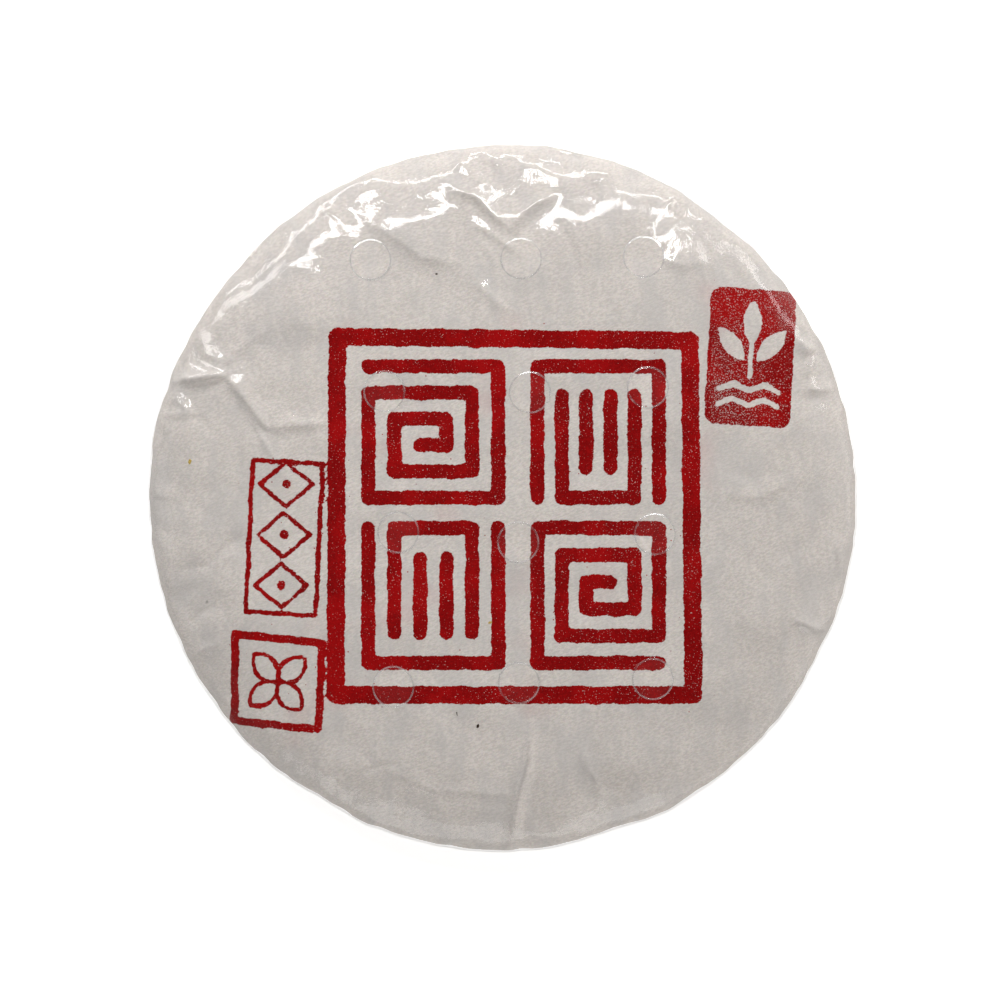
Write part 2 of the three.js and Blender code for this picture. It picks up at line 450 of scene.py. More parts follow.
def enter_mode(mode):
    bpy.ops.object.mode_set(mode=mode)


def apply_place():
    bpy.ops.object.transform_apply(location=True, rotation=True, scale=True)


def edge_ends(mesh):
    """The two points of each edge."""
    flat = np.empty(len(mesh.edges) * 2, np.int32)
    mesh.edges.foreach_get("vertices", flat)
    return flat.reshape(-1, 2)


def select_ring(shell, sectors, first_ring):
    """Selects the first or the last ring of a shell that was made ring by ring."""
    enter_mode("OBJECT")
    mesh = shell.data
    count = len(mesh.vertices)
    first = 0 if first_ring else count - sectors
    chosen = np.zeros(count, bool)
    chosen[first:first + sectors] = True
    mesh.vertices.foreach_set("select", chosen)
    mesh.edges.foreach_set("select", chosen[edge_ends(mesh)].all(axis=1))
    mesh.polygons.foreach_set("select", np.zeros(len(mesh.polygons), bool))
    enter_mode("EDIT")


def turned_shell(name, section, sectors, closed_end):
    """Rings of edges drawn out along a half section, with a square grid inside the first one."""
    deselect_all()
    radius, height = section[0]
    bpy.ops.mesh.primitive_circle_add(
        vertices=sectors, radius=radius * MM, location=(0, 0, height * MM),
    )
    apply_place()
    shell = bpy.context.object
    shell.name = name
    enter_mode("EDIT")
    bpy.ops.mesh.select_mode(type="EDGE")
    bpy.ops.mesh.select_all(action="SELECT")
    for (r_from, z_from), (r_to, z_to) in zip(section, section[1:]):
        drawn = (0, 0, (z_to - z_from) * MM)
        bpy.ops.mesh.extrude_edges_move(TRANSFORM_OT_translate={"value": drawn})
        grow = r_to / r_from
        bpy.ops.transform.resize(value=(grow, grow, 1), center_override=(0, 0, z_to * MM))
    if closed_end:
        select_ring(shell, sectors, first_ring=False)
        bpy.ops.mesh.fill_grid(span=sectors // 4)
    select_ring(shell, sectors, first_ring=True)
    bpy.ops.mesh.fill_grid(span=sectors // 4)
    bpy.ops.mesh.select_all(action="SELECT")
    bpy.ops.mesh.normals_make_consistent(inside=False)
    enter_mode("OBJECT")
    return shell


def read_points(mesh, what):
    flat = np.empty(len(mesh.vertices) * 3)
    mesh.vertices.foreach_get(what, flat)
    return flat.reshape(-1, 3)


def read_places(mesh):
    """The mesh's points in millimetres."""
    return read_points(mesh, "co") / MM


def write_places(mesh, places):
    mesh.vertices.foreach_set("co", (places * MM).ravel())
    mesh.update()


def round_off(shell):
    """Lifts the flat grids of a shell on to the dome of the face and the hollow of the foot."""
    mesh = shell.data
    places = read_places(mesh)
    radius = np.hypot(places[:, 0], places[:, 1])
    over = places[:, 2] > RIM_HEIGHT
    on_dome = face_height(shoulder_radius(places[:, 0], places[:, 1]))
    places[:, 2] = np.where(over & (radius < RIM_RADIUS - 0.02), on_dome, places[:, 2])
    under = places[:, 2] < 1e-3
    places[:, 2] = np.where(under, hollow_height(radius), places[:, 2])
    write_places(mesh, places)


def drape(shell, inset, for_film):
    """Moves a plain shell to the creased wrapping, a little under the cake's outer skin."""
    mesh = shell.data
    places, normals = read_places(mesh), read_points(mesh, "normal")
    x, y, z = places.T
    radius, angle = np.hypot(x, y), np.arctan2(y, x)
    relief = film_relief(x, y) if for_film else paper_relief(x, y)
    rise = np.where(z > RIM_HEIGHT - 1e-4, relief, 0.0)
    fine = np.where(z > RIM_HEIGHT - 1e-4, 1.0, smooth(2.0, RIM_HEIGHT, z))
    rumple = SIDE_RUMPLE * soft_noise(angle * RIM_RADIUS, z * 2, 41, 6, 22)
    rumple = rumple * smooth(1, 6, z) * smooth(90, 97, radius)
    rise = rise + rumple * fine * (FILM_RUMPLE_SHARE if for_film else 1.0)
    if not for_film:
        turn = np.degrees(angle)
        stand_off = FILM_STAND_OFF * smooth(85, 100, turn) * (1 - smooth(150, 165, turn))
        inset = inset + stand_off * smooth(94, 98, radius)
    places += normals * (rise - inset)[:, None]
    under = z < RIM_HEIGHT - 1e-4
    pleats = pleat_rise(x, y) * (FILM_PLEAT_SHARE if for_film else 1.0)
    places[:, 2] += np.where(under, pleats, 0.0)
    drawn = 1 - dent_depth(angle) * (radius / RIM_RADIUS) ** 6 / np.maximum(radius, 1)
    places[:, 0] *= drawn
    places[:, 1] *= drawn
    write_places(mesh, places)


def smooth_shade(shell):
    select_only(shell)
    bpy.ops.object.shade_smooth()


def paper_pieces():
    """The stamped face of the wrapper, down to below the rim, and its gathered underside."""
    face_section = shoulder_places(22) + side_places(0, JOIN_TURN, 8)[1:]
    face = turned_shell("paper_face", face_section, PAPER_SECTORS, closed_end=False)
    back_section = foot_places(FOOT_GRID_RADIUS, FOOT_OUTER_RADIUS, 16)
    back_section += side_places(math.pi / 2, JOIN_TURN, 18)[1:]
    back = turned_shell("paper_underside", back_section, PAPER_SECTORS, closed_end=False)
    for shell in (face, back):
        round_off(shell)
        drape(shell, PAPER_INSET, for_film=False)
        smooth_shade(shell)
    return face, back


def film_piece():
    """The clear film: one shell all round, with its round vent holes punched out."""
    section = shoulder_places(16) + side_places(0, math.pi / 2, 18)[1:]
    section += foot_places(FOOT_OUTER_RADIUS, GRID_RADIUS - 20, 8)[1:]
    film = turned_shell("clear_film", section, FILM_SECTORS, closed_end=True)
    round_off(film)
    punch_vents(film)
    drape(film, FILM_INSET, for_film=True)
    smooth_shade(film)
    return film


def punch_vents(film):
    """Takes out the faces inside each vent hole and draws the edge of the hole round."""
    mesh = film.data
    centres = np.empty(len(mesh.polygons) * 3)
    mesh.polygons.foreach_get("center", centres)
    centres = centres.reshape(-1, 3)[:, :2] / MM
    inside = np.zeros(len(centres), bool)
    for hole in VENTS:
        inside |= np.hypot(*(centres - hole).T) < VENT_RADIUS
    select_only(film)
    enter_mode("EDIT")
    bpy.ops.mesh.select_all(action="DESELECT")
    bpy.ops.mesh.select_mode(type="FACE")
    enter_mode("OBJECT")
    mesh.polygons.foreach_set("select", inside)
    enter_mode("EDIT")
    bpy.ops.mesh.delete(type="FACE")
    enter_mode("OBJECT")
    sides = np.empty(len(mesh.loops), np.int32)
    mesh.loops.foreach_get("edge_index", sides)
    open_edges = np.flatnonzero(np.bincount(sides, minlength=len(mesh.edges)) == 1)
    rim = np.unique(edge_ends(mesh)[open_edges])
    places = read_places(mesh)
    for hole in VENTS:
        off = places[rim, :2] - hole
        away = np.hypot(*off.T)
        near = away < VENT_RADIUS + 1.5
        places[rim[near], :2] = hole + off[near] * (VENT_RADIUS / away[near])[:, None]
    write_places(mesh, places)


def vent_lips():
    """Thin welded lips, one round each vent hole, laid on the film."""
    lips = []
    for number, (hole_x, hole_y) in enumerate(VENTS, 1):
        deselect_all()
        lip_radius = VENT_RADIUS + LIP_WIDTH / 2
        bpy.ops.mesh.primitive_torus_add(
            major_radius=lip_radius * MM, minor_radius=LIP_WIDTH / 2 * MM,
            major_segments=96, minor_segments=10,
        )
        bpy.ops.transform.resize(value=(1, 1, LIP_THICKNESS / LIP_WIDTH), center_override=(0, 0, 0))
        apply_place()
        lip = bpy.context.object
        lip.name = f"vent_lip_{number}"
        places = read_places(lip.data)
        away = np.hypot(places[:, 0], places[:, 1])
        places[:, 2] += math.tan(LIP_TILT) * (lip_radius + LIP_WIDTH / 2 - away)
        places += (hole_x, hole_y, 0)
        x, y = places[:, 0], places[:, 1]
        places[:, 2] += face_height(shoulder_radius(x, y)) + film_relief(x, y) - FILM_INSET
        write_places(lip.data, places)
        bpy.ops.object.shade_smooth()
        lips.append(lip)
    return lips


def caught_flecks():
    """Crumbs of leaf and straw caught between the paper and the film."""
    flecks = []
    for name, (x, y), length, width, degrees in FLECKS:
        deselect_all()
        bpy.ops.mesh.primitive_uv_sphere_add(segments=14, ring_count=8, radius=0.5 * MM)
        bpy.ops.transform.resize(value=(length, width, FLECK_THICKNESS))
        turn = -math.radians(degrees)
        bpy.ops.transform.rotate(value=turn, orient_axis="Z", center_override=(0, 0, 0))
        apply_place()
        fleck = bpy.context.object
        fleck.name = name
        places = read_places(fleck.data)
        bend = soft_noise(places[:, 0] + 9 * x, places[:, 1] + 9 * y, 61, 0.5, 1.4)
        places[:, :2] += (FLECK_BEND * length * bend)[:, None]
        places += (x, y, 0)
        on_face = places[:, 0], places[:, 1]
        under_it = face_height(shoulder_radius(*on_face)) + paper_relief(*on_face)
        places[:, 2] += under_it - PAPER_INSET + FLECK_LIFT
        write_places(fleck.data, places)
        bpy.ops.object.shade_smooth()
        flecks.append(fleck)
    return flecks


# ---- stamps

def capsule(x, y, start, end, half):
    """Distance outside a straight stroke with round ends."""
    (ax, ay), (bx, by) = start, end
    run_x, run_y = bx - ax, by - ay
    square = max(run_x * run_x + run_y * run_y, 1e-9)
    share = np.clip(((x - ax) * run_x + (y - ay) * run_y) / square, 0, 1)
    return np.hypot(x - ax - share * run_x, y - ay - share * run_y) - half


def stroke(x, y, places, half):
    """Distance outside a bent stroke."""
    return np.minimum.reduce([capsule(x, y, a, b, half) for a, b in zip(places, places[1:])])


def leaf(x, y, middle, length, width, degrees):
    """Distance outside a pointed oval leaf, about right near its edge."""
    heading = math.radians(degrees)
    along = (x - middle[0]) * math.cos(heading) + (y - middle[1]) * math.sin(heading)
    across = (y - middle[1]) * math.cos(heading) - (x - middle[0]) * math.sin(heading)
    bow = (length * length / width + width) / 4
    return np.hypot(along, np.abs(across) + bow - width / 2) - bow


def placed(places, middle, half_x, half_y, mirrored):
    """Places given in halves of a block, turned to millimetres."""
    flip = -1 if mirrored else 1
    return [(middle[0] + flip * px * half_x, middle[1] + py * half_y) for px, py in places]


# Bent strokes of the two block motifs, in halves of a block.
SPIRAL = [[
    (-1, 1), (1, 1), (1, -1), (-1, -1), (-1, 0.6), (0.6, 0.6),
    (0.6, -0.6), (-0.6, -0.6), (-0.6, 0.2), (0.2, 0.2), (0.2, -0.2), (-0.2, -0.2),
]]
LABYRINTH = [
    [(-1, -1), (-1, 1), (1, 1), (1, -1)],
    [(-0.6, 0.55), (-0.6, -1), (0.6, -1), (0.6, 0.55)],
    [(-0.2, 0.55), (-0.2, -0.55)],
    [(0.2, 0.55), (0.2, -0.55)],
]


# Half widths of the strokes of the stamps, and how far their edges wander.
FRAME_STROKE = 2.5
BLOCK_STROKE = 2.0
TALL_STROKE = 0.7
LOZENGE_STROKE = 0.6
SQUARE_STROKE = 1.15
PETAL_STROKE = 0.6
STALK_STROKE = 0.7
RIPPLE_STROKE = 0.75
INK_WANDER = 0.15

# The solid stamp: its middle, half its width and height, the round of its corners, its turn,
# and its leaves by middle, length, width and direction.
SOLID_MIDDLE = (69.6, 39.2)
SOLID_HALVES = (12.1, 19.2)
SOLID_ROUND = 3.0
SOLID_TURN = math.radians(-3.5)
SPRIG_LEAVES = [
    ((0, 9.6), 13.0, 5.2, 90), ((-5.6, 3.4), 12.0, 5.0, 132), ((5.6, 3.4), 12.0, 5.0, 48),
]


def ink_distance(x, y):
    """Distance in millimetres outside the nearest edge of red ink, below 0 in the ink."""
    x = x + INK_WANDER * soft_noise(x, y, 51, 5, 16)
    y = y + INK_WANDER * soft_noise(x, y, 52, 5, 16)
    corners = [(-46.3, 44.9), (52.5, 43.8), (53.5, -55.5), (-46.8, -55.5), (-46.3, 44.9)]
    marks = [stroke(x, y, corners, FRAME_STROKE)]
    for middle, half_x, half_y, motif, mirrored in (
        ((-19.4, 18.2), 18.2, 18.4, SPIRAL, False),
        ((26.8, 18.2), 17.0, 18.4, LABYRINTH, False),
        ((-19.4, -27.6), 18.2, -18.9, LABYRINTH, False),
        ((26.8, -27.6), 17.0, -18.9, SPIRAL, True),
    ):
        for bar in motif:
            bent = placed(bar, middle, half_x, half_y, mirrored)
            marks.append(stroke(x, y, bent, BLOCK_STROKE))
    marks += [tall_stamp(x, y), square_stamp(x, y), solid_stamp(x, y)]
    return np.minimum.reduce(marks)


def tall_stamp(x, y):
    """The narrow outlined stamp at the left: a chain of lozenges in a frame."""
    corners = [(-70.0, 10.4), (-50.3, 9.2), (-52.4, -33.3), (-72.0, -32.0), (-70.0, 10.4)]
    marks = [stroke(x, y, corners, TALL_STROKE)]
    lozenge = [(0, 6.2), (7.4, 0), (0, -6.2), (-7.4, 0), (0, 6.2)]
    dot_radius = 1.3
    for i in range(3):
        middle_y = 3.6 - 14.2 * i
        middle_x = -60.6 - 0.7 * i
        bent = [(middle_x + a, middle_y + b) for a, b in lozenge]
        marks.append(stroke(x, y, bent, LOZENGE_STROKE))
        marks.append(np.hypot(x - middle_x, y - middle_y) - dot_radius)
    return np.minimum.reduce(marks)


def square_stamp(x, y):
    """The small square outlined stamp: a flower of four petals in a frame."""
    corners = [(-75.0, -38.4), (-50.6, -41.0), (-51.6, -65.2), (-75.4, -62.8), (-75.0, -38.4)]
    marks = [stroke(x, y, corners, SQUARE_STROKE)]
    middle_x, middle_y = -63.1, -51.9
    out, length, width = 5.2, 9.6, 6.0
    for degrees in (40, 130, 220, 310):
        heading = math.radians(degrees)
        petal = (middle_x + out * math.cos(heading), middle_y + out * math.sin(heading))
        marks.append(np.abs(leaf(x, y, petal, length, width, degrees)) - PETAL_STROKE)
    heart_radius = 1.2
    marks.append(np.hypot(x - middle_x, y - middle_y) - heart_radius)
    return np.minimum.reduce(marks)


def solid_stamp(x, y):
    """The solid stamp at the upper right: a plucked tea sprig left pale in a red ground."""
    off_x, off_y = x - SOLID_MIDDLE[0], y - SOLID_MIDDLE[1]
    local_x = off_x * math.cos(SOLID_TURN) + off_y * math.sin(SOLID_TURN)
    local_y = off_y * math.cos(SOLID_TURN) - off_x * math.sin(SOLID_TURN)
    side_x = np.abs(local_x) - SOLID_HALVES[0] + SOLID_ROUND
    side_y = np.abs(local_y) - SOLID_HALVES[1] + SOLID_ROUND
    ground = np.hypot(np.maximum(side_x, 0), np.maximum(side_y, 0)) - SOLID_ROUND
    ground = ground + np.minimum(np.maximum(side_x, side_y), 0)
    cuts = [leaf(local_x, local_y, *shape) for shape in SPRIG_LEAVES]
    cuts.append(stroke(local_x, local_y, [(0, 3.4), (0, -5.4)], STALK_STROKE))
    for low, high in ((-9.4, -7.6), (-13.6, -11.8)):
        line = [(-8.4, low), (-4.2, high), (0, low), (4.2, high), (8.4, low)]
        cuts.append(stroke(local_x, local_y, line, RIPPLE_STROKE))
    return np.maximum(ground, -np.minimum.reduce(cuts))


def ink_wear(x, y):
    """How thinly the stamps took, from 0 to 1: more to the right, and most on the solid stamp."""
    wear = 0.10 * smooth(-20, 60, x) + 0.16 * soft_noise(x, y, 53, 14, 40)
    wear += 0.55 * smooth(56, 60, x) * (1 - 0.5 * smooth(62, 80, x))
    return np.clip(wear, 0, 1)


def write_values(mesh, name, values):
    """Keeps one value on each point, for a material to read."""
    layer = mesh.attributes.new(name, "FLOAT", "POINT")
    layer.data.foreach_set("value", values.astype(np.float32))


def mark_ink(face):
    """Writes on each point of the paper the distance to the ink, its wear, and the open vents,
    where a sheen is painted.
    """
    places = read_places(face.data)
    x, y, z = places.T
    # The stamps end at the rim: below it, every place is soon far from the ink.
    below_rim = 8 * np.maximum(RIM_HEIGHT - z, 0)
    write_values(face.data, "ink_distance", ink_distance(x, y) + below_rim)
    # Inside the vents a sheen is painted into the colour: the paper there is paled towards white.
    outside_vents = [np.hypot(x - hole_x, y - hole_y) - VENT_RADIUS for hole_x, hole_y in VENTS]
    sheen_in_vents = 1 - smooth(-0.3, 0.3, np.minimum.reduce(outside_vents))
    write_values(face.data, "painted_vent_sheen", sheen_in_vents)
    write_values(face.data, "ink_wear", ink_wear(x, y))


# ---- materials

PAPER_COLOUR = (0.680, 0.628, 0.587, 1)
PAPER_SHADE = (0.550, 0.506, 0.472, 1)
PAPER_CLOUD = (0.500, 0.480, 0.468, 1)
INK_COLOUR = (0.360, 0.0040, 0.0045, 1)
INK_DARK = (0.190, 0.0025, 0.0028, 1)
INK_GHOST = (0.560, 0.360, 0.350, 1)
VENT_SHEEN_COLOUR = (0.740, 0.710, 0.690, 1)
LEAF_COLOUR, LEAF_DARK = (0.080, 0.055, 0.040, 1), (0.020, 0.014, 0.012, 1)
STRAW_COLOUR, STRAW_DARK = (0.560, 0.420, 0.110, 1), (0.380, 0.250, 0.060, 1)
WHITE = (1, 1, 1, 1)
MILKY = (0.86, 0.87, 0.88, 1)

# How much a painted sheen pales the paper under an open vent, and the strength of its tints and
# clouds.
VENT_SHEEN_SHARE = 0.012
TINT_SHARE = 0.10
CLOUD_SHARE = 0.45
GHOST_SHARE = 0.35

# Share of light that the film's two faces throw back when seen straight on.
FILM_GLOSS = 0.045

# Fineness of each pattern, in cells to the metre.
FIBRE_CELLS = (900, 2100, 1300)
TINT_CELLS = 1900.0
COLUMN_CELLS = (230, 60, 60)
PATCH_CELLS = 75.0
FINE_EDGE_CELLS = 1100.0
COARSE_EDGE_CELLS = 330.0
GRIT_CELLS = 2600.0
SPATTER_CELLS = 420.0
POOL_CELLS = 70.0
INK_GRAIN_CELLS = 2200.0
GHOST_CELLS = 60.0
STREAK_CELLS = (1150, 540, 820)
RIPPLE_CELLS = 340.0
CRUMB_CELLS = 3500.0
LIP_CLOUD_CELLS = 260.0


def new_material(name):
    material = bpy.data.materials.new(name)
    material.use_nodes = True
    material.node_tree.nodes.clear()
    return material, material.node_tree


def add(tree, kind, **values):
    """A new node with its settings and input values."""
    node = tree.nodes.new(kind)
    for key, value in values.items():
        if hasattr(node, key):
            setattr(node, key, value)
        else:
            node.inputs[key.replace("_", " ")].default_value = value
    return node


def feed(tree, socket, value):
    """Gives a socket a plain value, or links another socket to it."""
    if isinstance(value, (int, float, tuple)):
        socket.default_value = value
    else:
        tree.links.new(value, socket)


def math_node(tree, operation, first, second):
    """A Math node; each value is a number or a socket."""
    node = add(tree, "ShaderNodeMath", operation=operation)
    feed(tree, node.inputs[0], first)
    feed(tree, node.inputs[1], second)
    return node.outputs[0]


def times(tree, first, second):
    return math_node(tree, "MULTIPLY", first, second)


def plus(tree, first, second):
    return math_node(tree, "ADD", first, second)


def ramp(tree, value, low, high, out_low=0.0, out_high=1.0):
    """A value taken smoothly from one range to another."""
    node = add(
        tree, "ShaderNodeMapRange", interpolation_type="SMOOTHSTEP",
        From_Min=low, From_Max=high, To_Min=out_low, To_Max=out_high,
    )
    tree.links.new(value, node.inputs["Value"])
    return node.outputs["Result"]


def noise(tree, vector, scale, detail, roughness):
    node = add(tree, "ShaderNodeTexNoise", Scale=scale, Detail=detail, Roughness=roughness)
    tree.links.new(vector, node.inputs["Vector"])
    return node.outputs["Fac"]


def mix_colour(tree, factor, first, second, blend="MIX"):
    """A colour mix; each colour is a tuple or a socket."""
    node = add(tree, "ShaderNodeMix", data_type="RGBA", blend_type=blend)
    feed(tree, node.inputs["Factor"], factor)
    feed(tree, node.inputs[6], first)
    feed(tree, node.inputs[7], second)
    return node.outputs[2]


def stretched(tree, vector, cells, degrees):
    """A vector turned about +Z and then scaled along its axes."""
    scale, turn = [1 / part for part in cells], (0, 0, math.radians(degrees))
    node = add(tree, "ShaderNodeMapping", vector_type="TEXTURE", Scale=scale, Rotation=turn)
    tree.links.new(vector, node.inputs["Vector"])
    return node.outputs["Vector"]


def object_places(tree):
    return add(tree, "ShaderNodeTexCoord").outputs["Object"]


def point_values(tree, name):
    """The values that write_values kept on the points."""
    return add(tree, "ShaderNodeAttribute", attribute_name=name).outputs["Fac"]


def camera_rays(tree):
    """1 for what the camera sees itself, and 0 for light on its way between surfaces."""
    return add(tree, "ShaderNodeLightPath").outputs["Is Camera Ray"]


def roughen(tree, shader, height, strength, distance):
    """Gives a shader the fine relief of a height."""
    bump = add(tree, "ShaderNodeBump", Strength=strength, Distance=distance)
    tree.links.new(height, bump.inputs["Height"])
    tree.links.new(bump.outputs["Normal"], shader.inputs["Normal"])


def mix_shaders(tree, factor, first, second):
    node = add(tree, "ShaderNodeMixShader")
    tree.links.new(factor, node.inputs["Fac"])
    tree.links.new(first, node.inputs[1])
    tree.links.new(second, node.inputs[2])
    return node.outputs["Shader"]


def put_out(tree, shader):
    output = add(tree, "ShaderNodeOutputMaterial")
    tree.links.new(shader, output.inputs["Surface"])


def cotton_fibre_group():
    """Grain and clouding of soft cotton paper: fine fibres, their tints, and broad patches."""
    group = bpy.data.node_groups.new("cotton_fibres", "ShaderNodeTree")
    group.interface.new_socket("Vector", in_out="INPUT", socket_type="NodeSocketVector")
    for name, kind in (("Fibres", "Float"), ("Tints", "Color"), ("Clouds", "Float")):
        group.interface.new_socket(name, in_out="OUTPUT", socket_type="NodeSocket" + kind)
    source = group.nodes.new("NodeGroupInput").outputs["Vector"]
    result = group.nodes.new("NodeGroupOutput")
    fibres = noise(group, stretched(group, source, FIBRE_CELLS, 20), 1.0, 2.0, 0.7)
    tints = add(group, "ShaderNodeTexNoise", Scale=TINT_CELLS, Detail=1.0)
    group.links.new(source, tints.inputs["Vector"])
    columns = noise(group, stretched(group, source, COLUMN_CELLS, 3), 1.0, 2.0, 0.62)
    patches = noise(group, source, PATCH_CELLS, 2.0, 0.6)
    clouds = times(group, plus(group, columns, patches), 0.5)
    group.links.new(ramp(group, fibres, 0.34, 0.66), result.inputs["Fibres"])
    group.links.new(tints.outputs["Color"], result.inputs["Tints"])
    group.links.new(ramp(group, clouds, 0.42, 0.64), result.inputs["Clouds"])
    return group


def paper_colour(tree, vector, group):
    """The bare paper's colour and the height of its fibres."""
    grain = add(tree, "ShaderNodeGroup", node_tree=group)
    tree.links.new(vector, grain.inputs["Vector"])
    fibres, tints, clouds = (grain.outputs[name] for name in ("Fibres", "Tints", "Clouds"))
    toned = mix_colour(tree, fibres, PAPER_SHADE, PAPER_COLOUR)
    tinted = mix_colour(tree, TINT_SHARE, toned, tints, blend="OVERLAY")
    return mix_colour(tree, times(tree, clouds, CLOUD_SHARE), tinted, PAPER_CLOUD), fibres


def finish_paper(tree, colour, fibres):
    shader = add(tree, "ShaderNodeBsdfPrincipled", Roughness=0.85, Specular_IOR_Level=0.04)
    roughen(tree, shader, fibres, 0.5, 0.00003)
    tree.links.new(colour, shader.inputs["Base Color"])
    put_out(tree, shader.outputs["BSDF"])


def plain_paper_material(group):
    material, tree = new_material("plain_cotton_paper")
    colour, fibres = paper_colour(tree, object_places(tree), group)
    finish_paper(tree, colour, fibres)
    return material


def spatter(tree, vector, distance):
    """Small dots of ink, fewer the further they lie from the stamps."""
    cells = add(tree, "ShaderNodeTexVoronoi", Scale=SPATTER_CELLS)
    tree.links.new(vector, cells.inputs["Vector"])
    draw = add(tree, "ShaderNodeSeparateColor")
    tree.links.new(cells.outputs["Color"], draw.inputs["Color"])
    dot = ramp(tree, cells.outputs["Distance"], 0.06, 0.11, 1.0, 0.0)
    few = ramp(tree, draw.outputs["Red"], 0.80, 0.82)
    near = ramp(tree, distance, 0.4, 5.0, 1.0, 0.0)
    return times(tree, times(tree, dot, few), near)


def ink_cover(tree, vector, distance):
    """How much ink lies on a place: ragged at its edges, worn in specks, spattered round."""
    fine = plus(tree, noise(tree, vector, FINE_EDGE_CELLS, 2.0, 0.6), -0.5)
    coarse = plus(tree, noise(tree, vector, COARSE_EDGE_CELLS, 2.0, 0.6), -0.5)
    edge = plus(tree, distance, plus(tree, times(tree, fine, 0.8), coarse))
    inked = ramp(tree, edge, -0.10, 0.10, 1.0, 0.0)
    worn = times(tree, point_values(tree, "ink_wear"), 0.20)
    grit = plus(tree, noise(tree, vector, GRIT_CELLS, 1.0, 0.5), worn)
    speckled = times(tree, inked, ramp(tree, grit, 0.68, 0.78, 1.0, 0.45))
    return math_node(tree, "MAXIMUM", speckled, spatter(tree, vector, distance))


def ink_tone(tree, vector):
    """The ink's red: darker where it pooled, and finely grained."""
    pooled = ramp(tree, noise(tree, vector, POOL_CELLS, 3.0, 0.6), 0.42, 0.62)
    grainy = ramp(tree, noise(tree, vector, INK_GRAIN_CELLS, 1.0, 0.6), 0.35, 0.65)
    return mix_colour(tree, times(tree, plus(tree, pooled, grainy), 0.5), INK_DARK, INK_COLOUR)


def ghosted(tree, vector, distance, colour):
    """The paper's colour with faint pink patches beside the stamps."""
    halo = ramp(tree, distance, 0.0, 7.0, 1.0, 0.0)
    patches = ramp(tree, noise(tree, vector, GHOST_CELLS, 2.0, 0.5), 0.55, 0.75)
    return mix_colour(tree, times(tree, times(tree, halo, patches), GHOST_SHARE), colour, INK_GHOST)


def stamped_paper_material(group):
    """Cotton paper with red ink where the ink distance is below 0, and a painted sheen that pales
    it in the open vents.
    """
    material, tree = new_material("stamped_cotton_paper")
    vector = object_places(tree)
    colour, fibres = paper_colour(tree, vector, group)
    distance = point_values(tree, "ink_distance")
    cover = ink_cover(tree, vector, distance)
    backed = ghosted(tree, vector, distance, colour)
    printed = mix_colour(tree, cover, backed, ink_tone(tree, vector))
    # Painted sheen: the paper's colour is paled where the vents leave it bare.
    painted_sheen = times(tree, point_values(tree, "painted_vent_sheen"), VENT_SHEEN_SHARE)
    finish_paper(tree, mix_colour(tree, painted_sheen, printed, VENT_SHEEN_COLOUR), fibres)
    return material


def film_material():
    """Thin clear film: see-through, with a gloss that grows at grazing angles."""
    material, tree = new_material("clear_shrink_film")
    vector = object_places(tree)
    streaks = noise(tree, stretched(tree, vector, STREAK_CELLS, 4), 1.0, 2.0, 0.7)
    ripple = plus(tree, noise(tree, vector, RIPPLE_CELLS, 1.0, 0.5), streaks)
    clear = add(tree, "ShaderNodeBsdfTransparent", Color=(0.995, 0.997, 0.998, 1))
    gloss = add(tree, "ShaderNodeBsdfPrincipled", Base_Color=WHITE, Metallic=1.0, Roughness=0.07)
    roughen(tree, gloss, ripple, 1.0, 0.00006)
    grazing = add(tree, "ShaderNodeLayerWeight", Blend=0.5).outputs["Facing"]
    steep = math_node(tree, "POWER", grazing, 5.0)
    thrown_back = plus(tree, times(tree, steep, 1 - FILM_GLOSS), FILM_GLOSS)
    share = times(tree, thrown_back, camera_rays(tree))
    put_out(tree, mix_shaders(tree, share, clear.outputs["BSDF"], gloss.outputs["BSDF"]))
    return material


def lip_material():
    """Welded film: a little whiter than the sheet, and less glossy."""
    material, tree = new_material("welded_film")
    body = add(tree, "ShaderNodeBsdfPrincipled", Base_Color=MILKY, Roughness=0.30)
    clear = add(tree, "ShaderNodeBsdfTransparent", Color=(0.98, 0.98, 0.98, 1))
    mottle = noise(tree, object_places(tree), LIP_CLOUD_CELLS, 2.0, 0.5)
    cloud = ramp(tree, mottle, 0.35, 0.65, 0.03, 0.14)
    cloudy = mix_shaders(tree, cloud, clear.outputs["BSDF"], body.outputs["BSDF"])
    gloss = add(tree, "ShaderNodeBsdfPrincipled", Base_Color=WHITE, Metallic=1.0, Roughness=0.16)
    share = times(tree, camera_rays(tree), 2 * FILM_GLOSS)
    put_out(tree, mix_shaders(tree, share, cloudy, gloss.outputs["BSDF"]))
    return material


def fleck_material(name, pale, dark):
    """Dry plant crumb: two tones in fine grain."""
    material, tree = new_material(name)
    grain = noise(tree, object_places(tree), CRUMB_CELLS, 2.0, 0.6)
    shader = add(tree, "ShaderNodeBsdfPrincipled", Roughness=0.7, Specular_IOR_Level=0.2)
    tones = mix_colour(tree, ramp(tree, grain, 0.4, 0.6), dark, pale)
    tree.links.new(tones, shader.inputs["Base Color"])
    roughen(tree, shader, grain, 0.5, 0.00008)
    put_out(tree, shader.outputs["BSDF"])
    return material


def floor_material():
    """A pale floor that looks white to the camera without lighting the cake from below."""
    material, tree = new_material("pale_floor")
    shader = add(
        tree, "ShaderNodeBsdfPrincipled", Base_Color=(0.80, 0.79, 0.78, 1), Roughness=0.9,
        Specular_IOR_Level=0.1, Emission_Color=WHITE,
    )
    tree.links.new(times(tree, camera_rays(tree), 0.70), shader.inputs["Emission Strength"])
    put_out(tree, shader.outputs["BSDF"])
    return material


# ---- stage

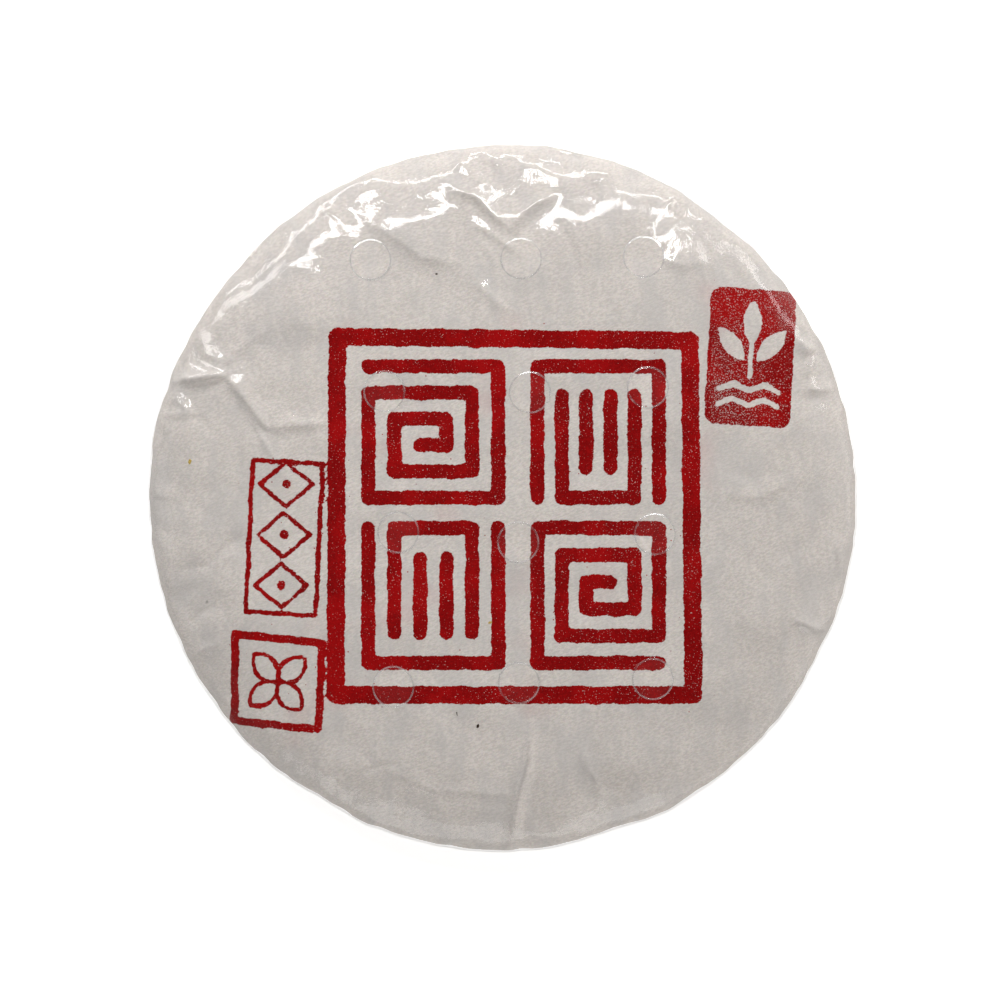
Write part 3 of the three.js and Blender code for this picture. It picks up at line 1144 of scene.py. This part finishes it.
# Soft boxes: name, the two ends, the width and the radiance of each, in metres.
SOFT_BOXES = [
    ("key_strip_left", (-0.70, 0.80, 1.09), (0.04, 0.60, 1.09), 0.09, 21.0),
    ("key_strip_right", (0.04, 0.60, 1.09), (0.56, 1.03, 1.09), 0.09, 21.0),
    ("near_wash", (-0.65, 0.60, 0.29), (0.30, 0.60, 0.29), 0.040, 11.0),
    ("near_strip", (-0.65, 0.55, 0.26), (0.30, 0.55, 0.26), 0.034, 12.0),
    ("front_box", (-0.50, -0.75, 0.32), (0.40, -0.75, 0.32), 0.45, 1.5),
    ("left_wall_box", (-0.78, -0.40, 0.30), (-0.78, 0.30, 0.30), 0.40, 0.60),
    ("left_box", (-0.65, 0.35, 0.35), (-0.35, 0.35, 0.35), 0.10, 5.4),
    ("right_box", (0.46, 0.50, 0.42), (0.64, 0.26, 0.42), 0.14, 4.0),
]
# This one lights the paper, but the film doesn't mirror it.
UNMIRRORED_BOX = "near_wash"
LIGHT_AIM = Vector((0, 0, 0.01))

# The disc in the photograph, in pixels, and the camera's height over the rim in metres.
IMAGE_WIDTH = 1000
DISC_WIDTH = 710
DISC_MIDDLE = (502.5, 497.0)
CAMERA_RISE = 2.2
SENSOR_WIDTH = 36.0


def soft_box(name, start, end, width, radiance):
    """A long soft box between two places, facing the middle of the cake."""
    start, end = Vector(start), Vector(end)
    length = (end - start).length
    light = bpy.data.lights.new(name, "AREA")
    light.shape = "RECTANGLE"
    light.size = length
    light.size_y = width
    light.energy = radiance * math.pi * length * width
    lamp = bpy.data.objects.new(name, light)
    bpy.context.scene.collection.objects.link(lamp)
    middle = (start + end) / 2
    along = (end - start).normalized()
    back = (middle - LIGHT_AIM).normalized()
    back = (back - along * back.dot(along)).normalized()
    turn = Matrix((along, back.cross(along), back)).transposed()
    lamp.matrix_world = Matrix.Translation(middle) @ turn.to_4x4()
    lamp.visible_glossy = name != UNMIRRORED_BOX


def light_the_room():
    """Soft light from all round, with a dark ceiling over the cake."""
    world = bpy.data.worlds.new("studio_room")
    world.use_nodes = True
    tree = world.node_tree
    parts = add(tree, "ShaderNodeSeparateXYZ")
    tree.links.new(add(tree, "ShaderNodeTexCoord").outputs["Generated"], parts.inputs["Vector"])
    from_right = times(tree, parts.outputs["X"], 0.36)
    from_front = times(tree, parts.outputs["Y"], -0.08)
    sides = plus(tree, plus(tree, from_right, from_front), 0.35)
    low = ramp(tree, parts.outputs["Z"], 0.0, 0.45, 2.4, 1.0)
    below_ceiling = ramp(tree, parts.outputs["Z"], 0.74, 0.82, 1.0, 0.0)
    room = tree.nodes["Background"]
    room.inputs["Color"].default_value = (1, 0.975, 0.945, 1)
    tree.links.new(times(tree, times(tree, sides, low), below_ceiling), room.inputs["Strength"])
    bpy.context.scene.world = world


def set_stage():
    """Floor, soft lights and the camera straight above."""
    deselect_all()
    bpy.ops.mesh.primitive_plane_add(size=3.0, location=(0, 0, 0))
    floor = bpy.context.object
    floor.name = "floor"
    floor.data.materials.append(floor_material())

    for box in SOFT_BOXES:
        soft_box(*box)
    light_the_room()

    camera = bpy.data.objects.new("camera", bpy.data.cameras.new("camera"))
    bpy.context.scene.collection.objects.link(camera)
    pixel = 2 * RIM_RADIUS * MM / DISC_WIDTH
    middle_x, middle_y = DISC_MIDDLE
    camera.location = (
        -(middle_x - IMAGE_WIDTH / 2) * pixel,
        (middle_y - IMAGE_WIDTH / 2) * pixel,
        RIM_HEIGHT * MM + CAMERA_RISE,
    )
    camera.data.sensor_width = SENSOR_WIDTH
    camera.data.lens = SENSOR_WIDTH * CAMERA_RISE / (IMAGE_WIDTH * pixel)
    bpy.context.scene.camera = camera
    bpy.context.scene.view_settings.view_transform = "Standard"


# ---- making

fibre_group = cotton_fibre_group()
stamped_face, underside = paper_pieces()
mark_ink(stamped_face)
stamped_face.data.materials.append(stamped_paper_material(fibre_group))
underside.data.materials.append(plain_paper_material(fibre_group))
film = film_piece()
film.data.materials.append(film_material())
lips = vent_lips()
welded_film = lip_material()
for lip in lips:
    lip.data.materials.append(welded_film)
flecks = caught_flecks()
dry_leaf = fleck_material("dry_leaf", LEAF_COLOUR, LEAF_DARK)
dry_straw = fleck_material("dry_straw", STRAW_COLOUR, STRAW_DARK)
for fleck in flecks:
    fleck.data.materials.append(dry_leaf if fleck.name.startswith("leaf") else dry_straw)
for piece in (stamped_face, underside, film, *lips, *flecks):
    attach(piece, "root")
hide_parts(CAKE)
set_stage()
